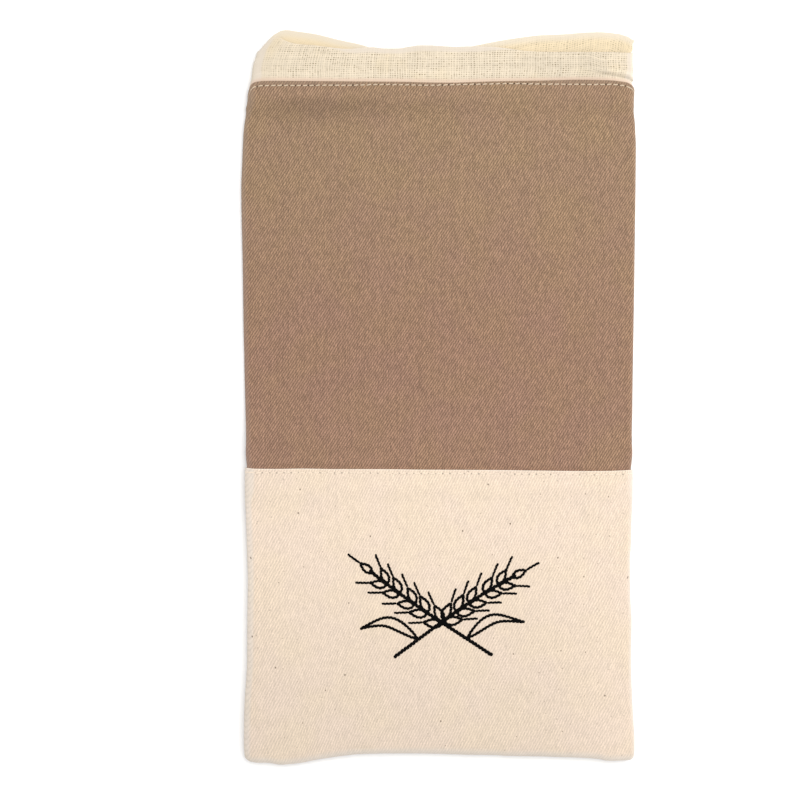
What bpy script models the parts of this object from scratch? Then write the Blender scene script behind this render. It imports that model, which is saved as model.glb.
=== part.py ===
"""A linen bread bag lying folded, face up, on a flat surface.

+Z is up, +X is to the right of the bag's face and +Y is towards its mouth. The origin is at the
middle of the underside. The bag is three rings of cloth sewn end to end: a cream twill body closed
at its bottom, a taupe twill band and a muslin neck. Both sides are folded under by a quarter of the
width, which puts four layers on top of each other, and the bottom is then folded up under them.

Each ring is modelled flat, as a tube of cloth pressed shut, and its points are then carried through
the two folds and down onto the surface. Sizes here are in millimetres, and the meshes in metres.
"""

import math

import bmesh
import bpy
import numpy

MM = 0.001

# The cloth
SHEET = 1.0  # thickness of each ring's cloth
GAP = 0.6  # between layers that only lie on each other
SEAM_GAP = 0.45  # between two rings where they are sewn together

# Half the distance between the front and back cloth of the flat bag, at mid-thickness
PLAIN = (SHEET + GAP) / 2
INNER = (SHEET + SEAM_GAP) / 2  # for the ring that lies inside, where two are sewn together
OUTER = INNER + SHEET + SEAM_GAP  # for the ring that lies outside there

# The folds. "Across" runs over the flat bag's width from its middle, "along" runs over its length.
FRONT_HALF = 100.0  # across, from the middle to where a side starts to turn under
SIDE_TURN = math.pi * (PLAIN + SHEET / 2 + GAP / 2)  # cloth taken up by the turn at a side
SIDE_FLAP = 90.0  # cloth that lies under the bag past that turn
HALF_WIDTH = FRONT_HALF + SIDE_TURN + SIDE_FLAP

STACK = 4 * SHEET + 3 * GAP  # height of the four layers, away from seams
BOTTOM_LINE = -185.0  # along, where the bottom starts to turn under
BOTTOM_TURN = math.pi * (STACK + GAP) / 2  # cloth taken up by that turn
BOTTOM_FLAP = 122.0  # cloth that lies under the bag past it
BOTTOM_EDGE = BOTTOM_LINE - BOTTOM_TURN - BOTTOM_FLAP
TURN_STEPS = 6  # flat faces round each turn

# The rings' edges, along
BODY_TOP = -38.4
BAND_BOTTOM = -47.0
BAND_TOP = 167.5
NECK_BOTTOM = 159.0
NECK_TOP = 185.0

# Where the layers start to swell below each seam, reach their height, and are plain again above it
BODY_SEAM_START, BODY_SEAM_FULL, BODY_SEAM_END = -58.0, -48.0, -28.0
BAND_SEAM_START, BAND_SEAM_FULL, BAND_SEAM_END = 148.0, 158.0, 176.0
SETTLE_LINE = -150.0  # below it the cloth follows the uneven bottom edge

# How the four layers lie from the bottom to the mouth: "seam" is 0 for plain cloth and 1 where two
# rings are sewn together, and "lift" is the height of the lowest layer's underside.
LIE = (
    ("along", "seam", "lift"),
    (BOTTOM_LINE, 0.0, STACK + GAP),
    (BODY_SEAM_START, 0.0, STACK + GAP),
    (BODY_SEAM_FULL, 1.0, 3.8),
    (BODY_TOP, 1.0, 3.3),
    (BODY_SEAM_END, 0.0, 4.4),
    (-14.0, 0.0, 2.4),
    (0.0, 0.0, 0.9),
    (16.0, 0.0, 0.0),
    (118.0, 0.0, 0.0),
    (BAND_SEAM_START, 0.0, 1.1),
    (BAND_SEAM_FULL, 1.0, 0.1),
    (BAND_TOP, 1.0, 0.1),
    (BAND_SEAM_END, 0.0, 1.4),
    (NECK_TOP, 0.0, 0.7),
)

# The outline of the folded bag
SIDES = (
    ("along", "left", "right"),
    (-190.0, -103.2, 102.6),
    (-182.0, -103.9, 103.4),
    (-150.0, -102.8, 102.3),
    (-119.0, -101.8, 101.8),
    (-87.0, -102.3, 101.2),
    (-55.0, -103.4, 102.3),
    (-23.0, -102.8, 102.3),
    (9.0, -103.9, 102.8),
    (136.0, -104.4, 104.9),
    (152.0, -103.4, 104.0),
    (160.0, -101.8, 103.7),
    (BAND_TOP, -100.6, 103.1),
    (BAND_SEAM_END, -98.6, 102.8),
    (NECK_TOP, -94.0, 102.4),
)
BOTTOM_OUTLINE = (
    ("x", "y"),
    (-93.0, -194.4),
    (-85.0, -194.8),
    (-76.0, -194.2),
    (-61.0, -191.4),
    (-36.0, -188.9),
    (20.0, -189.8),
    (51.0, -190.4),
    (68.0, -191.0),
    (84.0, -192.1),
    (93.0, -192.7),
    (101.0, -191.7),
)
BODY_TOP_OUTLINE = (
    ("x", "y"),
    (-101.0, -37.6),
    (90.0, -39.2),
)
BAND_TOP_OUTLINE = (
    ("x", "y"),
    (-101.0, 165.6),
    (-92.0, 167.2),
    (0.0, 167.5),
    (52.0, 168.0),
    (90.0, 168.0),
    (98.0, 167.2),
    (103.0, 164.6),
)
# The front cloth's mouth edge, and that of the layers behind it, which stand further out
NECK_TOP_OUTLINE = (
    ("x", "front", "back"),
    (-91.0, 188.8, 188.8),
    (-86.0, 187.4, 192.6),
    (-81.0, 186.4, 194.8),
    (-74.0, 186.2, 193.6),
    (-59.0, 185.8, 189.4),
    (-35.0, 184.9, 185.2),
    (19.0, 184.4, 185.9),
    (49.0, 183.4, 190.6),
    (66.0, 183.1, 192.8),
    (82.0, 183.1, 193.6),
    (91.0, 183.1, 193.2),
    (97.0, 182.8, 191.6),
    (102.0, 181.6, 187.6),
)

# Where the cloth is cut into faces, across and along
ACROSS_CUTS = (-95.0, -87.0, -78.0, -62.0, -37.0, -8.0, 20.0, 52.0, 70.0, 86.0, 95.0)
BODY_CUTS = (SETTLE_LINE, -100.0, BODY_SEAM_START, BODY_SEAM_FULL)
BAND_CUTS = (
    (BODY_TOP, BODY_SEAM_END, -14.0, 0.0, 16.0, 70.0, 118.0, 136.0)
    + (BAND_SEAM_START, BAND_SEAM_FULL)
)
NECK_CUTS = (BAND_TOP, 171.0, BAND_SEAM_END)
BOTTOM_FLAP_CUTS = (30.0, 80.0)  # from the bottom turn towards the flap's edge

# Colour and roughness
CREAM_TWILL = ((0.88, 0.75, 0.60), 0.9)
TAUPE_TWILL = ((0.38, 0.24, 0.155), 0.9)
CREAM_MUSLIN = ((0.83, 0.72, 0.55), 0.95)


def read(table, name, at):
    """A named column of a table, run straight between its rows, at a place in its first column."""
    column = table[0].index(name)
    places = [row[0] for row in table[1:]]
    values = [row[column] for row in table[1:]]
    return float(numpy.interp(at, places, values))


def ramp(at, start, end):
    """How far a place is from start to end, from 0 to 1."""
    return min(max((at - start) / (end - start), 0.0), 1.0)


def outer_offset(along):
    """How far the outermost cloth lies from the flat bag's middle."""
    return PLAIN + (OUTER - PLAIN) * read(LIE, "seam", along)


def turn_radius(along):
    """The radius of the side turns, at the flat bag's middle."""
    return outer_offset(along) + (SHEET + GAP) / 2


def half_stack(along):
    """Half the height of the four layers."""
    return turn_radius(along) + outer_offset(along) + SHEET / 2


def side_line(along, side):
    """Where a side starts to turn under, so that the turn's outside meets the outline."""
    outline = read(SIDES, "right" if side > 0 else "left", along)
    return abs(outline) - half_stack(along)


def fold_sides(across, along, offset):
    """The place across and the height from the axis of the side turns, and how far round the turn."""
    side = math.copysign(1.0, across)
    line = side_line(along, side)
    radius = turn_radius(along) + offset
    past = abs(across) - FRONT_HALF
    if past <= 0:
        return across / FRONT_HALF * line, radius, 0.0
    if past < SIDE_TURN:
        angle = math.pi * past / SIDE_TURN
        return side * (line + radius * math.sin(angle)), radius * math.cos(angle), past / SIDE_TURN
    return side * (line - (past - SIDE_TURN)), -radius, 1.0


def fold_bottom(x, along, height):
    """The place along and the height above the surface, once the bottom is turned under."""
    axis = STACK + GAP / 2
    line = read(BOTTOM_OUTLINE, "y", x) + axis
    radius = (STACK + GAP) / 2 + height
    past = BOTTOM_LINE - along
    if past <= 0:
        settle = ramp(along, SETTLE_LINE, BOTTOM_LINE)
        middle = read(LIE, "lift", along) + half_stack(along)
        return along + settle * (line - BOTTOM_LINE), middle + height
    if past < BOTTOM_TURN:
        angle = math.pi * past / BOTTOM_TURN
        return line - radius * math.sin(angle), axis + radius * math.cos(angle)
    return line + past - BOTTOM_TURN, axis - radius


def edge_shift(x, along, front, turned):
    """How far the uneven top edges of the rings pull the cloth near them, level round the turns."""
    x = min(max(x, -side_line(along, -1)), side_line(along, 1))
    body = read(BODY_TOP_OUTLINE, "y", x) - BODY_TOP
    band = read(BAND_TOP_OUTLINE, "y", x) - BAND_TOP
    behind = read(NECK_TOP_OUTLINE, "back", x) - NECK_TOP
    ahead = read(NECK_TOP_OUTLINE, "front", x) - NECK_TOP
    neck = ahead + (behind - ahead) * turned if front else behind
    if along < BODY_TOP:
        return ramp(along, BODY_SEAM_START, BODY_TOP) * body
    if along < BAND_SEAM_START:
        return (1 - ramp(along, BODY_TOP, BODY_SEAM_END)) * body
    if along < BAND_TOP:
        return ramp(along, BAND_SEAM_START, BAND_TOP) * band
    return band + ramp(along, BAND_TOP, NECK_TOP) * (neck - band)


def layer_offset(name, along):
    """The cloth's distance from the flat bag's middle: pressed in or let out where rings are sewn."""
    if name == "band" and along < BODY_SEAM_END:
        return PLAIN + (INNER - PLAIN) * ramp(along, BODY_SEAM_END, BODY_TOP)
    if name == "neck":
        return INNER + (PLAIN - INNER) * ramp(along, BAND_TOP, BAND_SEAM_END)
    return outer_offset(along)


def carry(name, point):
    """A point of the flat ring, carried through the folds and laid on the surface."""
    offset = layer_offset(name, point.y)
    rounding = max(abs(point.x) - (HALF_WIDTH - PLAIN), 0.0)  # in the round edge of a flap
    across = point.x + math.copysign(1.0, point.x) * rounding * (offset / PLAIN - 1)
    offset *= point.z / PLAIN
    x, height, turned = fold_sides(across, point.y, offset)
    along = point.y + edge_shift(x, point.y, point.z > 0, turned)
    x, height, turned = fold_sides(across, along, offset)
    y, z = fold_bottom(x, along, height)
    return x, y, z


def flat_ring(bottom, top, closed):
    """A ring of cloth pressed flat, open at its ends, or closed at its bottom."""
    mesh = bmesh.new()
    bmesh.ops.create_cube(mesh, size=1.0)
    bmesh.ops.scale(mesh, vec=(2 * HALF_WIDTH, top - bottom, 2 * PLAIN), verts=mesh.verts)
    bmesh.ops.translate(mesh, vec=(0, (top + bottom) / 2, 0), verts=mesh.verts)
    mesh.normal_update()
    ends = [face for face in mesh.faces if face.normal.y > 0.5 or (face.normal.y < -0.5 and not closed)]
    bmesh.ops.delete(mesh, geom=ends, context="FACES")
    length = (top - bottom) * 0.99
    corners = [edge for edge in mesh.edges if abs(edge.verts[0].co.y - edge.verts[1].co.y) > length]
    bmesh.ops.bevel(
        mesh, geom=corners, affect="EDGES", offset=PLAIN, segments=2, profile=0.5, material=-1
    )
    bmesh.ops.remove_doubles(mesh, verts=mesh.verts, dist=0.001)
    return mesh


def cut_layers(mesh, place, normal):
    """A line of new edges across every layer."""
    geometry = mesh.verts[:] + mesh.edges[:] + mesh.faces[:]
    bmesh.ops.bisect_plane(mesh, geom=geometry, plane_co=place, plane_no=normal, dist=0.001)


def cuts_across():
    """Where the cloth bends over its width: by hand on the front, evenly round the turns, and on
    the flaps below each cut on the front."""
    turn = [FRONT_HALF + SIDE_TURN * step / TURN_STEPS for step in range(TURN_STEPS + 1)]
    turns = turn + [-place for place in turn]
    below = [math.copysign(2 * FRONT_HALF + SIDE_TURN - abs(cut), cut) for cut in ACROSS_CUTS]
    flaps = [place for place in below if abs(place) < HALF_WIDTH - 2 * PLAIN]
    return list(ACROSS_CUTS) + turns + flaps


def cuts_along(places, bottom):
    """Where the cloth bends over its length, with the bottom turn where the ring reaches it."""
    turn = [BOTTOM_LINE - BOTTOM_TURN * step / TURN_STEPS for step in range(TURN_STEPS + 1)]
    flap = [BOTTOM_LINE - BOTTOM_TURN - place for place in BOTTOM_FLAP_CUTS]
    return list(places) + [place for place in turn + flap if place > bottom]


def finish(name, colour, roughness):
    """A cloth's material."""
    material = bpy.data.materials.new(name)
    material.use_nodes = True
    shader = material.node_tree.nodes["Principled BSDF"]
    shader.inputs["Base Color"].default_value = (*colour, 1.0)
    shader.inputs["Roughness"].default_value = roughness
    shader.inputs["Metallic"].default_value = 0.0
    return material


def cloth(name, bottom, top, places, material, closed=False):
    """One ring of the bag, folded, as a closed sheet."""
    ring = flat_ring(bottom, top, closed)
    for place in cuts_across():
        cut_layers(ring, (place, 0, 0), (1, 0, 0))
    for place in cuts_along(places, bottom):
        cut_layers(ring, (0, place, 0), (0, 1, 0))
    for vertex in ring.verts:
        vertex.co = carry(name, vertex.co)
    bmesh.ops.recalc_face_normals(ring, faces=ring.faces)
    bmesh.ops.scale(ring, vec=(MM, MM, MM), verts=ring.verts)
    mesh = bpy.data.meshes.new(name)
    ring.to_mesh(mesh)
    ring.free()
    mesh.materials.append(material)

    sheet = bpy.data.objects.new(name, mesh)
    thickness = sheet.modifiers.new("Thickness", "SOLIDIFY")
    thickness.thickness = SHEET * MM
    thickness.offset = 0.0
    thickness.use_even_offset = True
    return sheet


for leftover in list(bpy.data.objects):
    bpy.data.objects.remove(leftover, do_unlink=True)

cream = finish("cream_twill", *CREAM_TWILL)
taupe = finish("taupe_twill", *TAUPE_TWILL)
muslin = finish("cream_muslin", *CREAM_MUSLIN)
bag = bpy.data.collections.new("linen_bread_bag")
bpy.context.scene.collection.children.link(bag)
bag.objects.link(cloth("body", BOTTOM_EDGE, BODY_TOP, BODY_CUTS, cream, closed=True))
bag.objects.link(cloth("band", BAND_BOTTOM, BAND_TOP, BAND_CUTS, taupe))
bag.objects.link(cloth("neck", NECK_BOTTOM, NECK_TOP, NECK_CUTS, muslin))
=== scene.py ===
import math
import random

import bmesh
import bpy
import numpy as np
from mathutils import Matrix, Vector, geometry, noise


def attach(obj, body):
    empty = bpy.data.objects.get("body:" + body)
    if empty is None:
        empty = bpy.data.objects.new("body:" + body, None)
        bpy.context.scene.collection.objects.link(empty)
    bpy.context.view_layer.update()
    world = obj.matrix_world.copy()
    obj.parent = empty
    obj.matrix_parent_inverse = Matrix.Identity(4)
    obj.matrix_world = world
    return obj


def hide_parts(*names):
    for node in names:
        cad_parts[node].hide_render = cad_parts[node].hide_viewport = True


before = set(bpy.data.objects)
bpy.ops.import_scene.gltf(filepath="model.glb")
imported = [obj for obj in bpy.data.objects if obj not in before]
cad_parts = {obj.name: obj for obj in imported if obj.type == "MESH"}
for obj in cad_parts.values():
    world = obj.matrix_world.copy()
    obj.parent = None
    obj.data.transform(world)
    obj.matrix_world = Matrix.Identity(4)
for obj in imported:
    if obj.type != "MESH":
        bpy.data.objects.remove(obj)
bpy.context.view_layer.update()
mm = 0.001  # sizes below are in millimetres, meshes and shader values in metres
print("frame loaded")


# ---- how the bag is folded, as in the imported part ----

folds = {
    "layer": 0.8,  # from the flat bag's middle to the middle of its cloth
    "inner": 0.75,  # the same at a seam, for the cloth that lies inside
    "outer": 1.7,  # and for the cloth that lies outside
    "sheet": 1,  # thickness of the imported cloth, which sets the stack's height
    "frontHalf": 100,  # from the middle of the face to a side turn
    "sideFlap": 90,  # cloth under the bag past a side turn
    "bottomLine": -185,  # where the bottom starts to turn under
    "bottomFlap": 122,  # cloth under the bag past the bottom turn
    "bodyTop": -38.4,
    "bandBottom": -47,
    "bandTop": 167.5,
    "neckBottom": 159,
    "neckTop": 185,
    "bodySeam": (-58, -28),  # where the layers swell below and above each seam
    "bandSeam": (148, 176),
    "settleLine": -150,  # below it the cloth follows the uneven bottom edge
}
sideTurn = 2 * math.pi * folds["layer"]
halfWidth = folds["frontHalf"] + sideTurn + folds["sideFlap"]
straight = halfWidth - folds["layer"]  # half the flat part of the pressed ring
edgeTurn = math.pi * folds["layer"]  # cloth in the round edge of a flap
ringHalf = 2 * straight + edgeTurn
bottomTurn = 4 * math.pi * folds["layer"]
bottomEdge = folds["bottomLine"] - bottomTurn - folds["bottomFlap"]


# a table of named columns becomes smooth curves that keep to its rows and never overshoot them
def smoothTable(columns, *rows):
    places = np.array([row[0] for row in rows])
    fine = np.linspace(places[0], places[-1], 1200)
    span = np.clip(np.searchsorted(places, fine, side="right") - 1, 0, len(places) - 2)
    curves = {"at": fine}
    for index, column in enumerate(columns[1:], start=1):
        values = np.array([row[index] for row in rows])
        rises = np.diff(values) / np.diff(places)
        slopes = np.zeros(len(values))
        for k in range(1, len(values) - 1):
            if rises[k - 1] * rises[k] > 0:
                slopes[k] = 2 * rises[k - 1] * rises[k] / (rises[k - 1] + rises[k])
        length = places[span + 1] - places[span]
        t = (fine - places[span]) / length
        curves[column] = (
            values[span] * (1 + 2 * t) * (1 - t) ** 2
            + values[span + 1] * t * t * (3 - 2 * t)
            + slopes[span] * length * t * (1 - t) ** 2
            - slopes[span + 1] * length * t * t * (1 - t)
        )
    return curves


def read(curves, column, at):
    return np.interp(at, curves["at"], curves[column])


# "seam" is 1 where two cloths are sewn together, "lift" is the height of the lowest layer
lie = smoothTable(
    ("along", "seam", "lift"),
    (-185, 0, 6.4),
    (-58, 0, 6.4),
    (-48, 1, 4.6),
    (-38.4, 1, 4),
    (-28, 0, 4.5),
    (-14, 0, 2.4),
    (0, 0, 0.9),
    (16, 0, 0.1),
    (118, 0, 0.1),
    (148, 0, 1.1),
    (158, 1, 0.3),
    (167.5, 1, 0.3),
    (176, 0, 1.4),
    (185, 0, 0.9),
)
sides = smoothTable(
    ("along", "left", "right"),
    (-190, -103.8, 104.1),
    (-182, -103.9, 104.3),
    (-171, -103.8, 103.6),
    (-160, -103.4, 102.9),
    (-150, -102.6, 102.5),
    (-140, -102.1, 102.3),
    (-118, -102, 102.6),
    (-108, -101.85, 102),
    (-97, -101.75, 101.9),
    (-87, -102.1, 101.8),
    (-76, -102.4, 102.5),
    (-65, -102.8, 102.6),
    (-55, -103.25, 103),
    (-38.4, -103.4, 103.3),
    (-34, -103.3, 103.4),
    (-24, -102.9, 103),
    (-7, -103.3, 103.5),
    (20, -104.2, 104),
    (70, -104.9, 104.8),
    (110, -105.7, 105.4),
    (134, -104.8, 105.6),
    (140, -104.5, 105.3),
    (147, -103.7, 104.9),
    (153, -102.7, 104.2),
    (159, -102.2, 104.4),
    (163.5, -102.2, 104.6),
    (167.5, -101.4, 104.6),
    (170, -100.6, 103.9),
    (174, -99.6, 103.8),
    (178.5, -98.6, 103.5),
    (181.5, -97.6, 103.6),
    (183.5, -97.1, 104.2),
    (185, -96.5, 105.2),
    (186, -96.1, 105.6),
    (188, -94.5, 105.3),
    (190, -93, 106.3),
    (192, -91.4, 106.3),
    (194, -90.2, 102.8),
    (196, -88.8, 98.8),
)
bottomOutline = smoothTable(
    ("x", "y"),
    (-104, -194.6),
    (-101, -195.2),
    (-97, -195.7),
    (-93, -195.5),
    (-89.5, -195.8),
    (-84.6, -196.5),
    (-80, -196.2),
    (-74, -195.5),
    (-67, -194.1),
    (-60, -192.9),
    (-50, -191.5),
    (-42, -190.7),
    (-28, -190.4),
    (-4, -190.5),
    (15, -190.95),
    (28, -191.1),
    (36, -191.6),
    (60, -192.2),
    (80, -192.9),
    (86, -193.5),
    (90, -194.3),
    (95, -194.25),
    (103, -194),
)
bodyTopOutline = smoothTable(
    ("x", "y"),
    (-103, -37.9),
    (-98, -38.3),
    (-86, -38.4),
    (-72, -38.2),
    (-57, -38.45),
    (-34, -38.5),
    (-5, -38.8),
    (32, -39),
    (47, -39.2),
    (77, -39.5),
    (92, -39.4),
    (97, -39.2),
    (102, -39),
)
bandTopOutline = smoothTable(
    ("x", "y"),
    (-102, 159),
    (-101.3, 162),
    (-100.4, 164.8),
    (-99.2, 166.4),
    (-97.5, 167.1),
    (-94.5, 167.6),
    (-86, 167.7),
    (-57, 167.5),
    (-34, 167.3),
    (-20, 167.2),
    (-5, 166.8),
    (7, 166.7),
    (20, 167.1),
    (33, 167.5),
    (54, 167.8),
    (76, 168.3),
    (91, 168),
    (96, 167.5),
    (99.5, 167),
    (101.6, 166.2),
    (103.2, 165.1),
    (104.6, 163.2),
)
neckTopOutline = smoothTable(
    ("x", "front", "back"),
    (-95.5, 184.2, 185),
    (-93.6, 187, 188),
    (-91.4, 189.6, 190.6),
    (-89, 191, 192.5),
    (-86, 191.3, 194.4),
    (-83, 190, 195.4),
    (-80, 188.6, 195.3),
    (-77, 187.8, 194.8),
    (-74, 187.4, 194.4),
    (-67, 186.9, 193.4),
    (-61, 186.2, 192.1),
    (-54.5, 185.4, 190.4),
    (-48, 185, 189),
    (-42, 185.5, 187.7),
    (-35.5, 186, 185.8),
    (-29, 185.3, 184.9),
    (-22, 185.3, 184.8),
    (-16, 186.2, 185.7),
    (-10, 187, 186.5),
    (-3.5, 186.9, 186.4),
    (9, 186.2, 185.7),
    (15.5, 186.4, 186.4),
    (21.5, 186.3, 187.5),
    (28, 186.1, 188.8),
    (34.5, 185.5, 190),
    (41, 184.5, 191),
    (47, 183.8, 191.8),
    (53.5, 183.4, 192.6),
    (66, 183.3, 193.1),
    (79, 183.3, 194.1),
    (86, 183.3, 194.3),
    (94, 183.2, 193.6),
    (98.5, 183, 193),
    (101, 183, 191.9),
    (103.6, 183.2, 190.3),
)


# 0 before start, 1 after end, smooth between them
def ease(at, start, end):
    t = np.clip((at - start) / (end - start), 0, 1)
    return t * t * (3 - 2 * t)


def outerOffset(along):
    return folds["layer"] + (folds["outer"] - folds["layer"]) * read(lie, "seam", along)


def turnRadius(along):
    return outerOffset(along) + folds["layer"]


def halfStack(along):
    return turnRadius(along) + outerOffset(along) + folds["sheet"] / 2


# the flap under the bottom is as wide as the face above it
def sideLine(along, side):
    mirrored = 2 * folds["bottomLine"] - bottomTurn - along
    above = np.where(along < folds["bottomLine"] - bottomTurn / 2, mirrored, along)
    outline = np.where(side > 0, read(sides, "right", above), -read(sides, "left", above))
    return outline - halfStack(along)


def foldSides(across, along, offset):
    side = np.where(across < 0, -1, 1)
    line = sideLine(along, side)
    radius = turnRadius(along) + offset
    past = np.abs(across) - folds["frontHalf"]
    turned = np.clip(past / sideTurn, 0, 1)
    under = side * (line + radius * np.sin(math.pi * turned) - np.maximum(past - sideTurn, 0))
    x = np.where(past <= 0, across / folds["frontHalf"] * line, under)
    flap = np.clip((past - sideTurn) / folds["sideFlap"], 0, 1)
    return x, radius * np.cos(math.pi * turned), flap


def foldBottom(x, along, height):
    stack = 8 * folds["layer"]
    axis = stack - (2 * folds["layer"] - folds["sheet"]) / 2
    line = read(bottomOutline, "y", x) + axis
    past = folds["bottomLine"] - along
    angle = math.pi * np.clip(past / bottomTurn, 0, 1)
    radius = stack / 2 + height
    pulled = ease(along, folds["settleLine"], folds["bottomLine"]) * (line - folds["bottomLine"])
    yTurned = line - radius * np.sin(angle) + np.maximum(past - bottomTurn, 0)
    y = np.where(past <= 0, along + pulled, yTurned)
    flat = read(lie, "lift", along) + halfStack(along) + height
    z = np.where(past <= 0, flat, axis + radius * np.cos(angle))
    return y, z


# how far the uneven top edges pull the cloth near them
def edgeShift(x, along, front, flap):
    body = read(bodyTopOutline, "y", x) - folds["bodyTop"]
    band = read(bandTopOutline, "y", x) - folds["bandTop"]
    behind = read(neckTopOutline, "back", x) - folds["neckTop"]
    ahead = read(neckTopOutline, "front", x) - folds["neckTop"]
    neck = np.where(front, ahead + (behind - ahead) * flap, behind)
    lowSeam, highSeam = folds["bodySeam"], folds["bandSeam"]
    return np.select(
        [along < folds["bodyTop"], along < highSeam[0], along < folds["bandTop"]],
        [
            ease(along, lowSeam[0], folds["bodyTop"]) * body,
            (1 - ease(along, folds["bodyTop"], lowSeam[1])) * body,
            ease(along, highSeam[0], folds["bandTop"]) * band,
        ],
        band + ease(along, folds["bandTop"], folds["neckTop"]) * (neck - band),
    )


def layerOffset(cloth, along):
    if cloth == "band":
        pressed = ease(along, folds["bodySeam"][1], folds["bodyTop"])
        low = folds["layer"] + (folds["inner"] - folds["layer"]) * pressed
        return np.where(along < folds["bodySeam"][1], low, outerOffset(along))
    if cloth == "neck":
        opened = ease(along, folds["bandTop"], folds["bandSeam"][1])
        return folds["inner"] + (folds["layer"] - folds["inner"]) * opened
    return outerOffset(along)


# where a place round the pressed ring lies on the flat bag, and which way is out
def ringPlace(around):
    side = np.where(around < 0, -1, 1)
    far = np.abs(around)
    angle = np.clip((far - straight) / folds["layer"], 0, math.pi)
    across = np.where(far < straight + edgeTurn / 2, far, ringHalf - far)
    across = side * np.minimum(np.abs(across), straight)
    return across, side * np.sin(angle), np.cos(angle)


def softNoise(x, y, size, seed):
    return np.array([noise.noise(Vector((a / size, b / size, seed))) for a, b in zip(x, y)])


give = {
    "swell": 0.055,  # how far the stack's height varies
    "swellSize": 62,
    "sideDrop": 0.07,  # how much lower the stack is at its sides and bottom
    "sideReach": (90, 104),
    "bottomDrop": 0.05,
    "bottomReach": (180, 194),
    "leftCorner": 3.4,  # radius of the bottom corners, seen from above
    "rightCorner": 0.5,
    "cornerReach": (77, 103),  # where the cloth is pulled in with them
    "floorGap": 0.03,
}


# the whole stack gives a little: it swells and sinks, and its corners are pulled in round
def settle(x, y, z):
    swell = give["swell"] * softNoise(x, y, give["swellSize"], 3.7)
    low = give["sideDrop"] * ease(np.abs(x), *give["sideReach"])
    low = low + give["bottomDrop"] * ease(-y, *give["bottomReach"])
    z = z * (1 + swell - low)
    radius = np.where(x < 0, give["leftCorner"], give["rightCorner"])
    depth = np.clip(y - read(bottomOutline, "y", x), 0, radius)
    inset = radius - np.sqrt(radius**2 - (radius - depth) ** 2)
    x = x - np.sign(x) * inset * ease(np.abs(x), *give["cornerReach"])
    return x, y, np.maximum(z, give["floorGap"])


# soft troughs and ridges, each from one place to another on the bag's face
def relief(creases, across, along):
    rise = np.zeros(len(across))
    for startX, startY, endX, endY, width, height in creases:
        runX, runY = endX - startX, endY - startY
        length = math.hypot(runX, runY)
        t = ((across - startX) * runX + (along - startY) * runY) / length**2
        off = ((across - startX) * runY - (along - startY) * runX) / length
        rise += height * np.exp(-((off / width) ** 2)) * ease(np.minimum(t, 1 - t), 0, 0.25)
    return rise


# places on a flat cloth, carried through the folds; "above" is counted out from its middle
def carry(piece, around, along, above, tip=0):
    across, outX, outZ = ringPlace(around)
    facing = np.clip((np.abs(across) - folds["frontHalf"]) / sideTurn, 0, 1)
    onFace = np.where(outZ > 0, 1 - facing, 0) * np.where(above > -0.1, 1, 0) * np.cos(tip)
    ripple = piece["ripple"] * softNoise(across, along, piece["rippleSize"], 8.1)
    above = above + onFace * (relief(piece["creases"], across, along) + ripple)
    offset = layerOffset(piece["cloth"], along) + above
    wide = across + outX * offset * np.cos(tip)
    low = along - offset * np.sin(tip)
    shifted = low
    for _ in range(4):
        x, height, flap = foldSides(wide, shifted, offset * outZ * np.cos(tip))
        shifted = low + edgeShift(x, low, outZ > 0, flap)
    x, height, flap = foldSides(wide, shifted, offset * outZ * np.cos(tip))
    y, z = foldBottom(x, shifted, height)
    return np.column_stack(settle(x, y, z))


# ---- cloth ----

grid = {"face": 2.5, "turn": 0.5, "flap": 4.5, "edge": 0.42}  # spacing of the cloth's mesh


# evenly spaced places over one span after another: start, end and about how far apart
def stations(*spans):
    parts = []
    for start, end, step in spans:
        count = max(round(abs(end - start) / step), 1)
        parts.append(np.linspace(start, end, count, endpoint=False))
    return np.concatenate(parts + [[spans[-1][1]]])


def roundStations():
    turnStart, turnEnd = folds["frontHalf"], folds["frontHalf"] + sideTurn
    front = stations(
        (0, turnStart, grid["face"]),
        (turnStart, turnEnd, grid["turn"]),
        (turnEnd, straight, grid["flap"]),
    )
    edge = stations((straight, straight + edgeTurn, grid["edge"]))[1:-1]
    half = np.concatenate([front, edge, ringHalf - front[::-1]])
    return np.concatenate([-half[:0:-1], half])


def addObject(name, data):
    added = bpy.data.objects.new(name, data)
    bpy.context.scene.collection.objects.link(added)
    return added


# a bmesh becomes an object in the scene
def placeMesh(mesh, name):
    data = bpy.data.meshes.new(name)
    mesh.to_mesh(data)
    mesh.free()
    return addObject(name, data)


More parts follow.
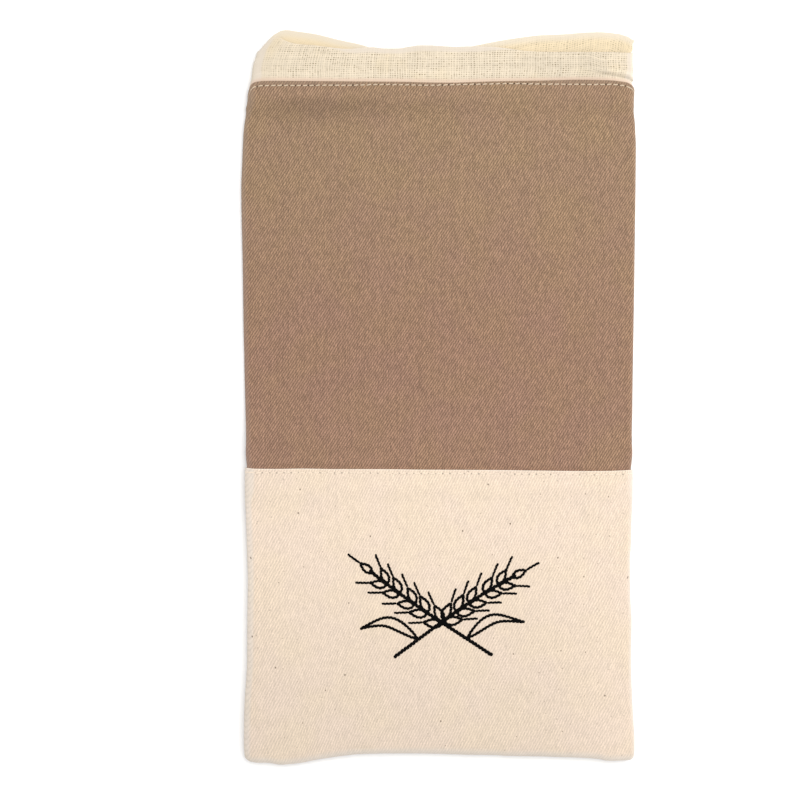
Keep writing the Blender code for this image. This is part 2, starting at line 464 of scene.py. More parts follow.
# a flat grid of cloth is folded; one UV map measures the cloth along its folded surface, for the
# weave, and the other measures round the flat bag and off the row of stitches
def foldCloth(piece, rows, place):
    around = roundStations()
    mesh = bmesh.new()
    bmesh.ops.create_grid(mesh, x_segments=len(around) - 1, y_segments=len(rows) - 1, size=0.5)
    spot = np.array([vertex.co[:2] for vertex in mesh.verts]) + 0.5
    column = np.rint(spot[:, 0] * (len(around) - 1)).astype(int)
    row = np.rint(spot[:, 1] * (len(rows) - 1)).astype(int)
    flatU, flatV = np.meshgrid(around, rows)
    folded = place(piece, flatU.ravel(), flatV.ravel()).reshape(len(rows), len(around), 3)
    folded[:, :, 2] = np.maximum(folded[:, :, 2], give["floorGap"] + piece["thickness"] / 2)
    stepU = np.linalg.norm(np.diff(folded, axis=1), axis=2)
    stepV = np.linalg.norm(np.diff(folded, axis=0), axis=2)
    clothU = np.pad(np.cumsum(stepU, axis=1), ((0, 0), (1, 0)))
    clothU -= clothU[:, [len(around) // 2]]
    if piece["straightWarp"]:
        clothU = flatU
    clothV = np.pad(np.cumsum(stepV, axis=0), ((1, 0), (0, 0))) + rows[0]
    offRow = flatV - stitchRow(piece, around)
    clothMap = mesh.loops.layers.uv.new("cloth")
    stitchMap = mesh.loops.layers.uv.new("stitches")
    mesh.verts.index_update()
    for face in mesh.faces:
        face.smooth = True
        for corner in face.loops:
            at = (row[corner.vert.index], column[corner.vert.index])
            corner[clothMap].uv = (clothU[at] * mm, clothV[at] * mm)
            corner[stitchMap].uv = (flatU[at] * mm, offRow[at] * mm)
    for k, vertex in enumerate(mesh.verts):
        vertex.co = folded[row[k], column[k]]
    bmesh.ops.remove_doubles(mesh, verts=mesh.verts, dist=0.004)
    bmesh.ops.scale(mesh, vec=(mm, mm, mm), verts=mesh.verts)
    cloth = placeMesh(mesh, piece["name"])
    thick = cloth.modifiers.new("Thickness", "SOLIDIFY")
    thick.thickness = piece["thickness"] * mm
    thick.offset = 0
    thick.use_even_offset = True
    thick.use_quality_normals = True
    if piece["rim"] > 0:
        rim = cloth.modifiers.new("Rounded rim", "BEVEL")
        rim.width = piece["rim"] * mm
        rim.segments = 2
        rim.limit_method = "ANGLE"
        rim.angle_limit = math.radians(60)
    return cloth


# where a row of stitches runs, a little unevenly, below its cloth's top edge
def stitchRow(piece, around):
    wander = [noise.noise(Vector((place / 21, piece["rowSeed"], 0))) for place in around]
    inset = np.interp(around, *zip(*piece["rowInset"]))
    return piece["edge"] - inset + piece["rowWander"] * np.array(wander)


def placeRing(piece, around, along):
    return carry(piece, around, along, np.zeros(len(around)))


# the body is sewn shut at its bottom, where its front and back meet in a round edge
def placeBody(piece, around, along):
    closing = bottomEdge + folds["layer"]
    tip = np.clip((closing - along) / folds["layer"], 0, math.pi / 2)
    return carry(piece, around, np.maximum(along, closing), np.zeros(len(around)), tip)


# the neck's cloth runs up, over a soft fold at the mouth, and down inside as a hem
def placeNeck(piece, around, along):
    nose = piece["noseLength"]
    rise = folds["neckTop"] - nose
    turn = math.pi * np.clip((along - rise) / (2 * nose), 0, 1)
    inside = np.maximum(along - rise - 2 * nose, 0)
    up = np.minimum(along, rise) + nose * np.sin(turn) - inside
    return carry(piece, around, up, piece["plyGap"] / 2 * np.cos(turn))


body = {
    "name": "body_cloth",
    "cloth": "body",
    "straightWarp": False,
    "thickness": 0.75,
    "rim": 0.24,
    "ripple": 0.22,
    "rippleSize": 34,
    "edge": folds["bodyTop"],
    "rowInset": ((-200, 2.1), (200, 2.1)),  # place round the bag, distance below the edge
    "rowWander": 0.25,
    "rowSeed": 1,
    # start x and y, end x and y, half width, height
    "creases": (
        (-112, -188, -70, -183, 3.4, -0.4),
        (62, -186, 112, -181, 3, -0.35),
        (-112, -60, -60, -62, 5, -0.25),
    ),
}
bodyRows = stations(
    (bottomEdge - folds["layer"] * (math.pi / 2 - 1), bottomEdge + folds["layer"], 0.32),
    (bottomEdge + folds["layer"], folds["bottomLine"] - bottomTurn, grid["flap"]),
    (folds["bottomLine"] - bottomTurn, folds["bottomLine"], 0.84),
    (folds["bottomLine"], -60, grid["face"]),
    (-60, folds["bodyTop"] - 1.2, 1.3),
    (folds["bodyTop"] - 1.2, folds["bodyTop"], 0.6),
)
bodyCloth = foldCloth(body, bodyRows, placeBody)
print("body folded,", len(bodyCloth.data.vertices), "points")

band = {
    "name": "band_cloth",
    "cloth": "band",
    "straightWarp": False,
    "thickness": 0.75,
    "rim": 0.24,
    "ripple": 0.22,
    "rippleSize": 38,
    "edge": folds["bandTop"],
    "rowInset": (
        (-108, 2.5),
        (-94, 2.6),
        (-60, 2.2),
        (-25, 1.7),
        (5, 1.35),
        (35, 1.35),
        (52, 1.7),
        (68, 2.4),
        (86, 2.5),
        (108, 2.1),
    ),
    "rowWander": 0.42,
    "rowSeed": 5,
    "creases": (
        (-112, 159.4, 30, 158.2, 3, 1.1),
        (-112, 151.2, 40, 149.8, 3.3, -0.75),
        (-60, 144, 96, 147.5, 5, -0.3),
        (-118, 30, -40, -8, 8, -0.3),
        (-130, -36.9, 130, -37.8, 0.9, -0.55),  # beside the body's edge
    ),
}
bandRows = stations(
    (folds["bandBottom"], folds["bodyTop"], 3),
    (folds["bodyTop"], -33.6, 0.6),
    (-33.6, -14, 1.6),
    (-14, 145, 3.2),
    (145, folds["bandTop"] - 1.2, 1.2),
    (folds["bandTop"] - 1.2, folds["bandTop"], 0.6),
)
bandCloth = foldCloth(band, bandRows, placeRing)
print("band folded,", len(bandCloth.data.vertices), "points")

neck = {
    "name": "neck_cloth",
    "cloth": "neck",
    "straightWarp": True,  # its weave follows the flat cloth and not the pull of the folds
    "thickness": 0.36,
    "rim": 0,
    "ripple": 0.16,
    "rippleSize": 17,
    "plyGap": 0.62,
    "noseLength": 2,
    "hem": 12.5,
    "edge": folds["neckTop"],
    "rowInset": ((-200, 0), (200, 0)),
    "rowWander": 0,
    "rowSeed": 0,
    "creases": (
        (-130, 177.5, 130, 176.5, 6.5, 0.55),
        (-112, 180.4, -42, 181.4, 1.1, -0.5),
        (-106, 172.4, -52, 171.6, 1, -0.45),
        (78, 172, 116, 168.4, 1, -1.6),
        (75, 174.4, 118, 170.6, 1.3, 0.95),
        (-30, 175, 22, 173.2, 1.6, -0.25),
    ),
}
neckRows = stations(
    (folds["neckBottom"], folds["bandTop"] - 1.5, 2.4),
    (folds["bandTop"] - 1.5, folds["neckTop"] - neck["noseLength"], 0.75),
    (folds["neckTop"] - neck["noseLength"], folds["neckTop"] + neck["noseLength"], 0.3),
    (folds["neckTop"] + neck["noseLength"], folds["neckTop"] + neck["hem"], 2.2),
)
neckCloth = foldCloth(neck, neckRows, placeNeck)
print("neck folded,", len(neckCloth.data.vertices), "points")


# ---- stitches ----


# a short rod along x, which every stitch is shaped from
def stitchRod(rodSides, sections):
    rod = bmesh.new()
    bmesh.ops.create_cone(rod, cap_ends=True, segments=rodSides, radius1=1, radius2=1, depth=2)
    turn = ((0, 0, 1), (0, 1, 0), (-1, 0, 0))
    for vertex in rod.verts:
        vertex.co = Vector([vertex.co.dot(Vector(axis)) for axis in turn])
    for k in range(1, sections):
        geom = rod.verts[:] + rod.edges[:] + rod.faces[:]
        place = (-1 + 2 * k / sections, 0, 0)
        bmesh.ops.bisect_plane(rod, geom=geom, plane_co=place, plane_no=(1, 0, 0), dist=0.0001)
    bmesh.ops.recalc_face_normals(rod, faces=rod.faces)
    data = bpy.data.meshes.new("stitch rod")
    rod.to_mesh(data)
    rod.free()
    return data


# every stitch of a piece as one mesh: rows hold u, v, angle, half length, half width, half height
def sewStitches(name, piece, rows, rodSides=6, sections=6):
    rod = stitchRod(rodSides, sections)
    shape = np.array([vertex.co[:] for vertex in rod.vertices])
    rows = np.array(rows)
    mesh = bmesh.new()
    for _ in rows:
        mesh.from_mesh(rod)
    x, y, z = (np.tile(shape[:, axis], len(rows)) for axis in range(3))
    u, v, angle, length, width, height = (np.repeat(rows[:, k], len(shape)) for k in range(6))
    sunk = x**4
    side = y * width * (1 - 0.35 * sunk)
    above = piece["thickness"] / 2 + height * (0.45 - 1.7 * sunk + z * (1 - 0.3 * sunk))
    u = u + x * length * np.cos(angle) - side * np.sin(angle)
    v = v + x * length * np.sin(angle) + side * np.cos(angle)
    for vertex, spot in zip(mesh.verts, carry(piece, u, v, above)):
        vertex.co = spot
    for face in mesh.faces:
        face.smooth = True
    bmesh.ops.scale(mesh, vec=(mm, mm, mm), verts=mesh.verts)
    bpy.data.meshes.remove(rod)
    return placeMesh(mesh, name)


topstitch = {
    "bandPitch": 3.48,
    "bodyPitch": 3.87,
    # the share of its pitch that a stitch fills, its half width and its half height
    "bandStitch": (0.82, 0.32, 0.24),
    "bodyStitch": (0.8, 0.3, 0.1),
    "lean": 0.12,
    "seed": 12,
}


def stitchRound(piece, pitch, share, width, height):
    dice = random.Random(topstitch["seed"])
    rows = []
    for k in range(-int(ringHalf / pitch), int(ringHalf / pitch) + 1):
        place = k * pitch
        ahead = stitchRow(piece, [place + pitch / 2])[0]
        behind = stitchRow(piece, [place - pitch / 2])[0]
        tilt = math.atan2(ahead - behind, pitch) + topstitch["lean"] + dice.uniform(-0.1, 0.1)
        half = pitch / 2 * share * dice.uniform(0.9, 1.06)
        rows.append((place, (ahead + behind) / 2, tilt, half, width, height))
    return rows


bandRow = stitchRound(band, topstitch["bandPitch"], *topstitch["bandStitch"])
bandStitches = sewStitches("band_topstitch", band, bandRow)
bodyRow = stitchRound(body, topstitch["bodyPitch"], *topstitch["bodyStitch"])
bodyStitches = sewStitches("body_topstitch", body, bodyRow)
print("topstitches sewn,", len(bandRow) + len(bodyRow))


# ---- embroidery: two ears of wheat whose stalks cross ----

wheat = {
    "centre": (1.1, -112.1),
    "line": 0.7,  # half widths of the sewn lines
    "stalkLine": 0.92,
    "awnLine": 0.6,
    "halfHeight": 0.3,
    "stitch": 2.3,
    "step": 1,
    "grain": (9.6, 4.3),  # length and width
    "grainSpread": 27,  # degrees from the stalk
    "awn": 7.5,
    # a stalk's foot, its two handles and its tip; where the grains start; pairs of grains
    "stalks": (
        ((-25, -26), (-8, -14), (14, 4), (39.5, 17), 0.46, 5),
        ((27, -25), (8, -12.5), (-16, 2), (-38, 19.5), 0.44, 5),
    ),
    # a leaf's foot, its middle bend, its tip and its width
    "leaves": (
        ((-12.5, -16.5), (-28, -5.5), (-43, -11), 5.4),
        ((14, -16), (27, -4), (44, -7.5), 5),
    ),
    "seed": 4,
}


def bend(points, count):
    foot, handleA, handleB, tip = (Vector((x, y, 0)) for x, y in points)
    curve = geometry.interpolate_bezier(foot, handleA, handleB, tip, count)
    return [place.to_2d() for place in curve]


# a closed pointed outline round a middle line
def leafLine(middle, width, fullness):
    left, right = [], []
    for k, place in enumerate(middle):
        ahead, behind = middle[min(k + 1, len(middle) - 1)], middle[max(k - 1, 0)]
        out = (ahead - behind).normalized().orthogonal()
        half = width / 2 * math.sin(math.pi * (k / (len(middle) - 1)) ** fullness)
        left.append(place + out * half)
        right.append(place - out * half)
    return left + right[::-1]


def turned(direction, degrees):
    away = Vector(direction)
    away.rotate(Matrix.Rotation(math.radians(degrees), 2))
    return away


def wheatLines():
    lines = []
    length, width = wheat["grain"]
    for *handles, grainStart, pairs in wheat["stalks"]:
        stalk = bend(handles, 60)
        lines.append((stalk, wheat["stalkLine"]))
        last = len(stalk) - 2
        first = int(grainStart * (last + 1))
        for pair in range(pairs + 1):
            k = min(first + round(pair * (last - first) / pairs), last)
            ahead = (stalk[k + 1] - stalk[k - 1]).normalized()
            turns = (0,) if pair == pairs else (-1, 1)
            for side in turns:
                away = turned(ahead, side * wheat["grainSpread"])
                base = stalk[k] + ahead.orthogonal() * side * 0.9
                size = 1 - 0.16 * pair / pairs
                middle = [base + away * length * size * t / 10 for t in range(11)]
                lines.append((leafLine(middle, width * size, 0.8), wheat["line"]))
                tip = middle[-1]
                lean = turned(away, side * 7 + 2)
                awn = [tip + lean * wheat["awn"] * (0.12 + 0.88 * t / 4) for t in range(5)]
                lines.append((awn, wheat["awnLine"]))
    for foot, middle, tip, width in wheat["leaves"]:
        lines.append((leafLine(bend((foot, middle, middle, tip), 16), width, 0.7), wheat["line"]))
    return lines


# overlapping slanted stitches along a line, as a machine sews an outline
def stemStitches(line, width, dice):
    places = np.array([place[:] for place in line])
    run = np.concatenate([[0], np.cumsum(np.hypot(*np.diff(places, axis=0).T))])
    rows = []
    for k, at in enumerate(np.arange(wheat["step"] / 2, run[-1], wheat["step"])):
        x, y = (np.interp(at, run, places[:, axis]) for axis in (0, 1))
        ahead, behind = min(at + 0.7, run[-1]), max(at - 0.7, 0)
        stepX, stepY = (
            np.interp(ahead, run, places[:, axis]) - np.interp(behind, run, places[:, axis])
            for axis in (0, 1)
        )
        angle = math.atan2(stepY, stepX) + dice.uniform(-0.05, 0.05) + (0.1 if k % 2 else -0.04)
        sway = width * (0.16 if k % 2 else -0.16)
        rows.append(
            (
                wheat["centre"][0] + x - sway * math.sin(angle),
                wheat["centre"][1] + y + sway * math.cos(angle),
                angle,
                wheat["stitch"] / 2 * dice.uniform(0.9, 1.08),
                width * dice.uniform(0.9, 1.06),
                wheat["halfHeight"],
            )
        )
    return rows


dice = random.Random(wheat["seed"])
wheatStitches = [row for line, width in wheatLines() for row in stemStitches(line, width, dice)]
embroidery = sewStitches("wheat_embroidery", body, wheatStitches, rodSides=8, sections=4)
print("wheat embroidered,", len(wheatStitches), "stitches")


# ---- shader helpers ----


# a socket's value in a node tree; what is worked out from such values becomes nodes there
class Value:
    def __init__(self, socket):
        self.tree, self.socket = socket.id_data, socket

    def __add__(self, other):
        return calc("ADD", self, other)

    def __sub__(self, other):
        return calc("SUBTRACT", self, other)

    def __rsub__(self, other):
        return calc("SUBTRACT", other, self)

    def __mul__(self, other):
        return calc("MULTIPLY", self, other)

    def __truediv__(self, other):
        return calc("DIVIDE", self, other)

    def __rtruediv__(self, other):
        return calc("DIVIDE", other, self)

    __radd__, __rmul__ = __add__, __mul__

    # from low to high, eased onto the range given
    def eased(self, low, high, start=0, end=1):
        node = newNode("MapRange", self, low, high, start, end)
        node.interpolation_type = "SMOOTHSTEP"
        return Value(node.outputs[0])

    # 1 at the top, and 0 before the start and after the end
    def peak(self, start, top, end):
        return self.eased(start, top) * self.eased(top, end, 1, 0)

    def split(self):
        x, y, _ = newNode("SeparateXYZ", self).outputs
        return Value(x), Value(y)

    def stretched(self, scale):
        node = newNode("Mapping", self)
        fill(node, {"Scale": scale})
        return Value(node.outputs[0])

    def noise(self, scale, detail=2, roughness=0.5):
        node = newNode("TexNoise", self)
        fill(node, {"Scale": scale, "Detail": detail, "Roughness": roughness})
        return Value(node.outputs[0])


def feed(socket, value):
    if isinstance(value, Value):
        value.tree.links.new(value.socket, socket)
    else:
        socket.default_value = value


def fill(node, values):
    for name, value in values.items():
        feed(node.inputs[name], value)


def treeOf(*values):
    return next(value.tree for value in values if isinstance(value, Value))


# a node fed in the order of its sockets
def newNode(kind, *values):
    node = treeOf(*values).nodes.new("ShaderNode" + kind)
    for socket, value in zip(node.inputs, values):
        feed(socket, value)
    return node


def calc(operation, *values):
    node = newNode("Math", *values)
    node.operation = operation
    return Value(node.outputs[0])


def mixColours(factor, first, second, blend="MIX"):
    node = treeOf(factor, first, second).nodes.new("ShaderNodeMix")
    node.data_type = "RGBA"
    node.blend_type = blend
    feed(node.inputs[0], factor)
    for socket, colour in zip(node.inputs[6:8], (first, second)):
        feed(socket, colour if isinstance(colour, Value) else (*colour, 1))
    return Value(node.outputs[2])


def joinVector(x, y):
    return Value(newNode("CombineXYZ", x, y).outputs[0])


def joinGrey(value):
    return Value(newNode("CombineColor", value, value, value).outputs[0])


def chanceNode(x, y):
    node = newNode("TexWhiteNoise", joinVector(x, y))
    node.noise_dimensions = "2D"
    return Value(node.outputs["Value"])


# the round top of one yarn after another
def hump(count):
    return calc("SINE", calc("FRACT", count) * math.pi)


# ---- effects that several cloths share, as node groups ----


# a group has inputs with their usual values, outputs, and a function that works the outputs out
def makeGroup(name, inputs, outputs, work):
    group = bpy.data.node_groups.new(name, "ShaderNodeTree")
    for socketName, value in inputs.items():
        kind = "NodeSocketVector" if value is None else "NodeSocketFloat"
        socket = group.interface.new_socket(socketName, in_out="INPUT", socket_type=kind)
        if value is not None:
            socket.default_value = value
    for socketName in outputs:
        group.interface.new_socket(socketName, in_out="OUTPUT", socket_type="NodeSocketFloat")
    given = group.nodes.new("NodeGroupInput").outputs
    results = work(*(Value(given[socketName]) for socketName in inputs))
    out = group.nodes.new("NodeGroupOutput").inputs
    for socketName, result in zip(outputs, results):
        feed(out[socketName], result)
    return group


def useGroup(group, **values):
    node = treeOf(*values.values()).nodes.new("ShaderNodeGroup")
    node.node_tree = group
    fill(node, values)
    return {socket.name: Value(socket) for socket in node.outputs}


# four-shaft twill: each warp yarn floats over three picks, one pick higher than its neighbour
def weaveTwill(place, warpPitch, weftPitch, sway):
    u, v = place.split()
    wander = (place.noise(75, 3) - 0.5) * sway
    warp = u / warpPitch + wander
    weft = v / weftPitch
    yarn = calc("FLOOR", warp)
    climb = (weft - (yarn + wander)) / 4
    phase = calc("FRACT", climb)
    floating = phase.eased(0.04, 0.28) * phase.eased(0.7, 0.94, 1, 0)
    chance = chanceNode(yarn, calc("FLOOR", climb))
    over = floating * hump(warp) * chance.eased(0, 1, 0.84, 1)
    under = hump(weft) * 0.3
    bead = hump(warp) * hump(weft) * chanceNode(yarn, calc("FLOOR", weft))
    return calc("MAXIMUM", over, under), chanceNode(yarn, 0), chance, bead - 0.2


# plain weave: yarns cross over and under, with small uneven gaps between them
def weavePlain(place, warpPitch, weftPitch, sway):
    u, v = place.split()
    warp = u / warpPitch + (place.stretched((1, 0.25, 1)).noise(160) - 0.5) * sway
    weft = v / weftPitch + (place.stretched((0.25, 1, 1)).noise(170) - 0.5) * sway
    warpYarn, weftYarn = calc("FLOOR", warp), calc("FLOOR", weft)
    odd = calc("MODULO", warpYarn + weftYarn + 4000, 2)
    warpTop = hump(warp) * (1 - odd * 0.4)
    weftTop = hump(weft) * (0.6 + odd * 0.4)
    nearU, nearV = (calc("ABSOLUTE", calc("FRACT", count) - 0.5) for count in (warp, weft))
    corner = nearU.eased(0.14, 0.36) * nearV.eased(0.14, 0.36)
    chance = chanceNode(calc("ROUND", warp), calc("ROUND", weft))
    tone = chanceNode(warpYarn, 3) + chanceNode(weftYarn, 8) - 1
    return calc("MAXIMUM", warpTop, weftTop), corner * chance.eased(0, 1, 0.2, 1), tone


# thick and thin places in the yarns, as streaks both ways
def streakBothWays(place, across, along):
    u, v = place.split()
    first = joinVector(u / across, v / along).noise(1, 3)
    second = joinVector(u / along, v / across).noise(1, 3)
    return (first + second - 1,)


# scattered bits of seed husk: some of the cells hold one
def scatterFlecks(place, cell, size, share):
    cells = newNode("TexVoronoi", place.stretched((1, 0.75, 1)))
    cells.voronoi_dimensions = "2D"
    fill(cells, {"Scale": 1 / cell})
    chance, _ = Value(cells.outputs["Color"]).split()
    far = Value(cells.outputs["Distance"]) * cell
    reach = size * chance.eased(0, share, 1.3, 0.6)
    return ((far / reach).eased(0.4, 1, 1, 0) * calc("LESS_THAN", chance, share),)


# needle holes between the stitches and the shallow groove that the thread pulls
def pressStitches(place, pitch, size):
    along, off = place.split()
    count = along / pitch
    aside = (calc("FRACT", count) - 0.5) * pitch
    far = calc("SQRT", calc("POWER", aside, 2) + calc("POWER", off, 2))
    reach = size * chanceNode(calc("FLOOR", count), 0).eased(0, 1, 0.6, 1.25)
    return (far / reach).eased(0.5, 1.15, 1, 0), calc("ABSOLUTE", off).eased(0, 0.0012, 1, 0)


# 1 on the round folds at the bag's sides, where the weave blurs and a painted fold shade comes in
# as the cloth turns away
def blurSides(place, start, turn):
    along, _ = place.split()
    past = (calc("ABSOLUTE", along) - start) / turn
    early = 0.02 - calc("LESS_THAN", along, 0) * 0.32  # the left side blurs, and takes the painted fold shade, sooner
    return (past.eased(early, early + 0.34) * past.eased(0.45, 0.85, 1, 0),)


weaveInputs = {"Vector": None, "Warp": 0.001, "Weft": 0.001, "Wander": 0.3}
twillWeave = makeGroup("Twill weave", weaveInputs, ("Height", "Yarn", "Float", "Bead"), weaveTwill)
plainWeave = makeGroup("Plain weave", weaveInputs, ("Height", "Gap", "Yarn"), weavePlain)
slubInputs = {"Vector": None, "Across": 0.001, "Along": 0.03}
slubs = makeGroup("Slubs", slubInputs, ("Tone",), streakBothWays)
fleckInputs = {"Vector": None, "Cell": 0.01, "Size": 0.0004, "Share": 0.3}
flecks = makeGroup("Flecks", fleckInputs, ("Mask",), scatterFlecks)
holeInputs = {"Vector": None, "Pitch": 0.0035, "Size": 0.0004}
needleHoles = makeGroup("Needle holes", holeInputs, ("Hole", "Groove"), pressStitches)
foldInputs = {"Vector": None, "Start": 0.1, "Turn": 0.005}
sideFold = makeGroup("Side fold", foldInputs, ("Mask",), blurSides)


# ---- materials ----


def newMaterial(name, roughness, sheen):
    material = bpy.data.materials.new(name)
    material.use_nodes = True
    tree = material.node_tree
    shader = tree.nodes["Principled BSDF"]
    specular = 0.2 if sheen > 0 else 0.04
    fill(shader, {"Roughness": roughness, "Diffuse Roughness": 0.7, "Specular IOR Level": specular})
    fill(shader, {"Sheen Weight": sheen, "Sheen Roughness": 0.45})
    return material, tree, shader


def uvMap(tree, name):
    node = tree.nodes.new("ShaderNodeUVMap")
    node.uv_map = name
    return Value(node.outputs[0])


def bumpNode(height, distance, strength, below=None):
    node = height.tree.nodes.new("ShaderNodeBump")
    fill(node, {"Distance": distance * mm, "Strength": strength, "Height": height})
    if below is not None:
        fill(node, {"Normal": below})
    return Value(node.outputs[0])


def inMetres(*sizes):
    return [size * mm for size in sizes]


# the fold's mask, and how much of the weave still shows where a cloth folds
def foldFade(lay, start, extra, kept):
    start = (folds["frontHalf"] + start) * mm
    folded = useGroup(sideFold, Vector=lay, Start=start, Turn=sideTurn * mm)["Mask"]
    folded = calc("MAXIMUM", folded, extra)
    return folded, 1 - folded * (1 - kept)


# a cloth's material up to its weave
def wovenMaterial(name, roughness, group, look):
    material, tree, shader = newMaterial(name, roughness, 0.15)
    cloth, lay = uvMap(tree, "cloth"), uvMap(tree, "stitches")
    warp, weft = inMetres(look["warp"], look["weft"])
    weave = useGroup(group, Vector=cloth, Warp=warp, Weft=weft, Wander=look["wander"])
    return material, shader, cloth, lay, weave


# tones are shares of the colour, such as slow streaks, whole yarns and single floats
def toneShade(*parts):
    shade = 1
    for value, share in parts:
        shade = value * share + shade
    return joinGrey(shade)


creamTwill = {
    "warm": (0.81, 0.682, 0.538),
    "pink": (0.805, 0.671, 0.566),
    # painted shade in the weave's valleys
    "valley": (0.51, 0.43, 0.345),
    # painted shade on the side and bottom folds, where the cloth turns away
    "fold": (0.6, 0.57, 0.53),
    "fleck": (0.11, 0.07, 0.045),
    # for each kind of fleck: stretch and size of its cells, its size, share of cells, how dark
    "flecks": (((1.3, 1.7, 1), 9, 0.5, 0.5, 0.32), ((1, 1, 1), 12.5, 0.43, 0.36, 0.8)),
    "rolled": (1.4, 1.9),  # the pressed edge above the stitches: where it starts, and is full
    "edge": 0.07,  # how much lighter it is: a painted highlight where the rolled edge catches light
    "far": (0.92, 0.92, 0.92),  # painted shade of the cloth's far end, greyer as if less light reaches it
    "farSide": 0.3,  # how much of that painted shade its right side has
    "paintedDips": (),  # painted shade in soft dips of the pressed cloth: from, darkest, to, and how dark
    "clear": 0.7,  # how clear the weave is where it shows least
    "warp": 0.3825,
    "weft": 0.77,
    "wander": 1.8,
    "slub": 0.03,
    "yarn": 0.02,
    "float": 0.08,
    "bead": 0.24,
    "grain": 0.22,
    "bump": 0.08,
    "bumpStrength": 0.35,
    "hole": 0.45,
    "holeDepth": 0.52,
    "pitch": topstitch["bodyPitch"],
    "foldStart": 0,
    "turnStart": folds["bottomLine"] - folds["bodyTop"] + 2.1,
    "turn": bottomTurn,
}
taupeTwill = {
    "warm": (0.474, 0.318, 0.19),
    "pink": (0.465, 0.302, 0.2),
    # painted shade in the weave's valleys
    "valley": (0.11, 0.068, 0.04),
    # painted shade on the side and bottom folds, where the cloth turns away
    "fold": (0.3, 0.222, 0.165),
    "flecks": (),
    "rolled": (0.2, 0.9),
    "edge": -0.05,
    # the band's lower part is a little pinker and darker
    "far": (0.98, 0.905, 0.965),
    "farSide": 0.8,
    # painted shade in the troughs below the stitches, which catch less light
    "paintedDips": ((-114, -69, -16, 0.15), (-90, -20, 70, 0.025)),
    "dipDepth": (-23.5, -10.8, -3.5),  # the same three places, down from the stitches
    "clear": 0.92,
    "warp": 0.375,
    "weft": 0.5875,
    "wander": 1.6,
    "slub": 0.06,
    "yarn": 0.06,
    "float": 0.26,
    "bead": 0.6,
    "grain": 0.5,
    "bump": 0.12,
    "bumpStrength": 0.6,
    "hole": 0.48,
    "holeDepth": 0.8,
    "pitch": topstitch["bandPitch"],
    "foldStart": 0.9,  # how far past the face the side strip starts to show
    "turnStart": -400,
    "turn": 10,
}


def twillMaterial(name, look):
    material, shader, cloth, lay, weave = wovenMaterial(name, 0.88, twillWeave, look)
    along, off = lay.split()
    start, turn = inMetres(look["turnStart"], look["turn"])
    bottom = off.eased(start - 0.26 * turn, start - 0.05 * turn, 1, 0)
    bottom = bottom * off.eased(start - turn, start - 0.8 * turn)
    rolled = off.eased(*inMetres(*look["rolled"]))
    turnedIn = calc("MAXIMUM", bottom, rolled * 0.8)
    _, shown = foldFade(lay, look["foldStart"], turnedIn, 0.6)
    drift = cloth.noise(38, 3).eased(0.32, 0.68)
    yarnColour = mixColours(drift, look["warm"], look["pink"])
    clear = cloth.noise(150).eased(0.38, 0.62, look["clear"], 1)
    # the weave's valleys take their painted shade
    sunk = 0.4 + (0.6 - weave["Height"]) * clear
    colour = mixColours(sunk, yarnColour, look["valley"])
    tone = useGroup(slubs, Vector=cloth, Across=0.0009, Along=0.028)["Tone"]
    grain = toneShade(
        (tone, look["slub"]),
        (weave["Yarn"] - 0.5, look["yarn"]),
        (weave["Float"] - 0.5, look["float"]),
        (weave["Bead"], look["bead"]),
        (cloth.noise(1900) - 0.5, look["grain"]),
    )
    colour = mixColours(1, colour, grain, "MULTIPLY")
    # where the weave shows less, on the folds, a painted fold shade comes in
    colour = mixColours(shown, look["fold"], colour)
    # the far end: a painted shade, greyer, on the cream; a pinker, darker tint on the taupe
    far = off.eased(-0.15, -0.02, 1, 0) * along.eased(0.055, 0.095, 1, look["farSide"])
    colour = mixColours(far, colour, look["far"], "MULTIPLY")
    # the rolled edge: lighter on the cream, a painted highlight; a little darker on the taupe
    shades = [(rolled, look["edge"])]
    # painted shade below the band's stitches, where the troughs catch less light
    for *reach, dark in look["paintedDips"]:
        paintedDip = along.peak(*inMetres(*reach)) * off.peak(*inMetres(*look["dipDepth"]))
        shades.append((paintedDip, -dark))
    colour = mixColours(1, colour, toneShade(*shades), "MULTIPLY")
    for stretch, cell, size, share, dark in look["flecks"]:
        place = cloth.stretched(stretch)
        spots = useGroup(flecks, Vector=place, Cell=cell * mm, Size=size * mm, Share=share)
        colour = mixColours(spots["Mask"] * dark, colour, look["fleck"])
    holes = useGroup(needleHoles, Vector=lay, Pitch=look["pitch"] * mm, Size=look["hole"] * mm)
    # the needle holes: painted shade, darker than the valleys
    dark = tuple(part * 0.3 for part in look["valley"])
    colour = mixColours(holes["Hole"] * look["holeDepth"], colour, dark)
    pressed = bumpNode(holes["Groove"] * -1.2 - holes["Hole"] * 2, 0.12, 0.5)
    height = weave["Height"] + cloth.noise(5200) * 0.35
    woven = bumpNode(height, look["bump"], shown * look["bumpStrength"], pressed)
    fill(shader, {"Base Color": colour, "Normal": woven})
    return material


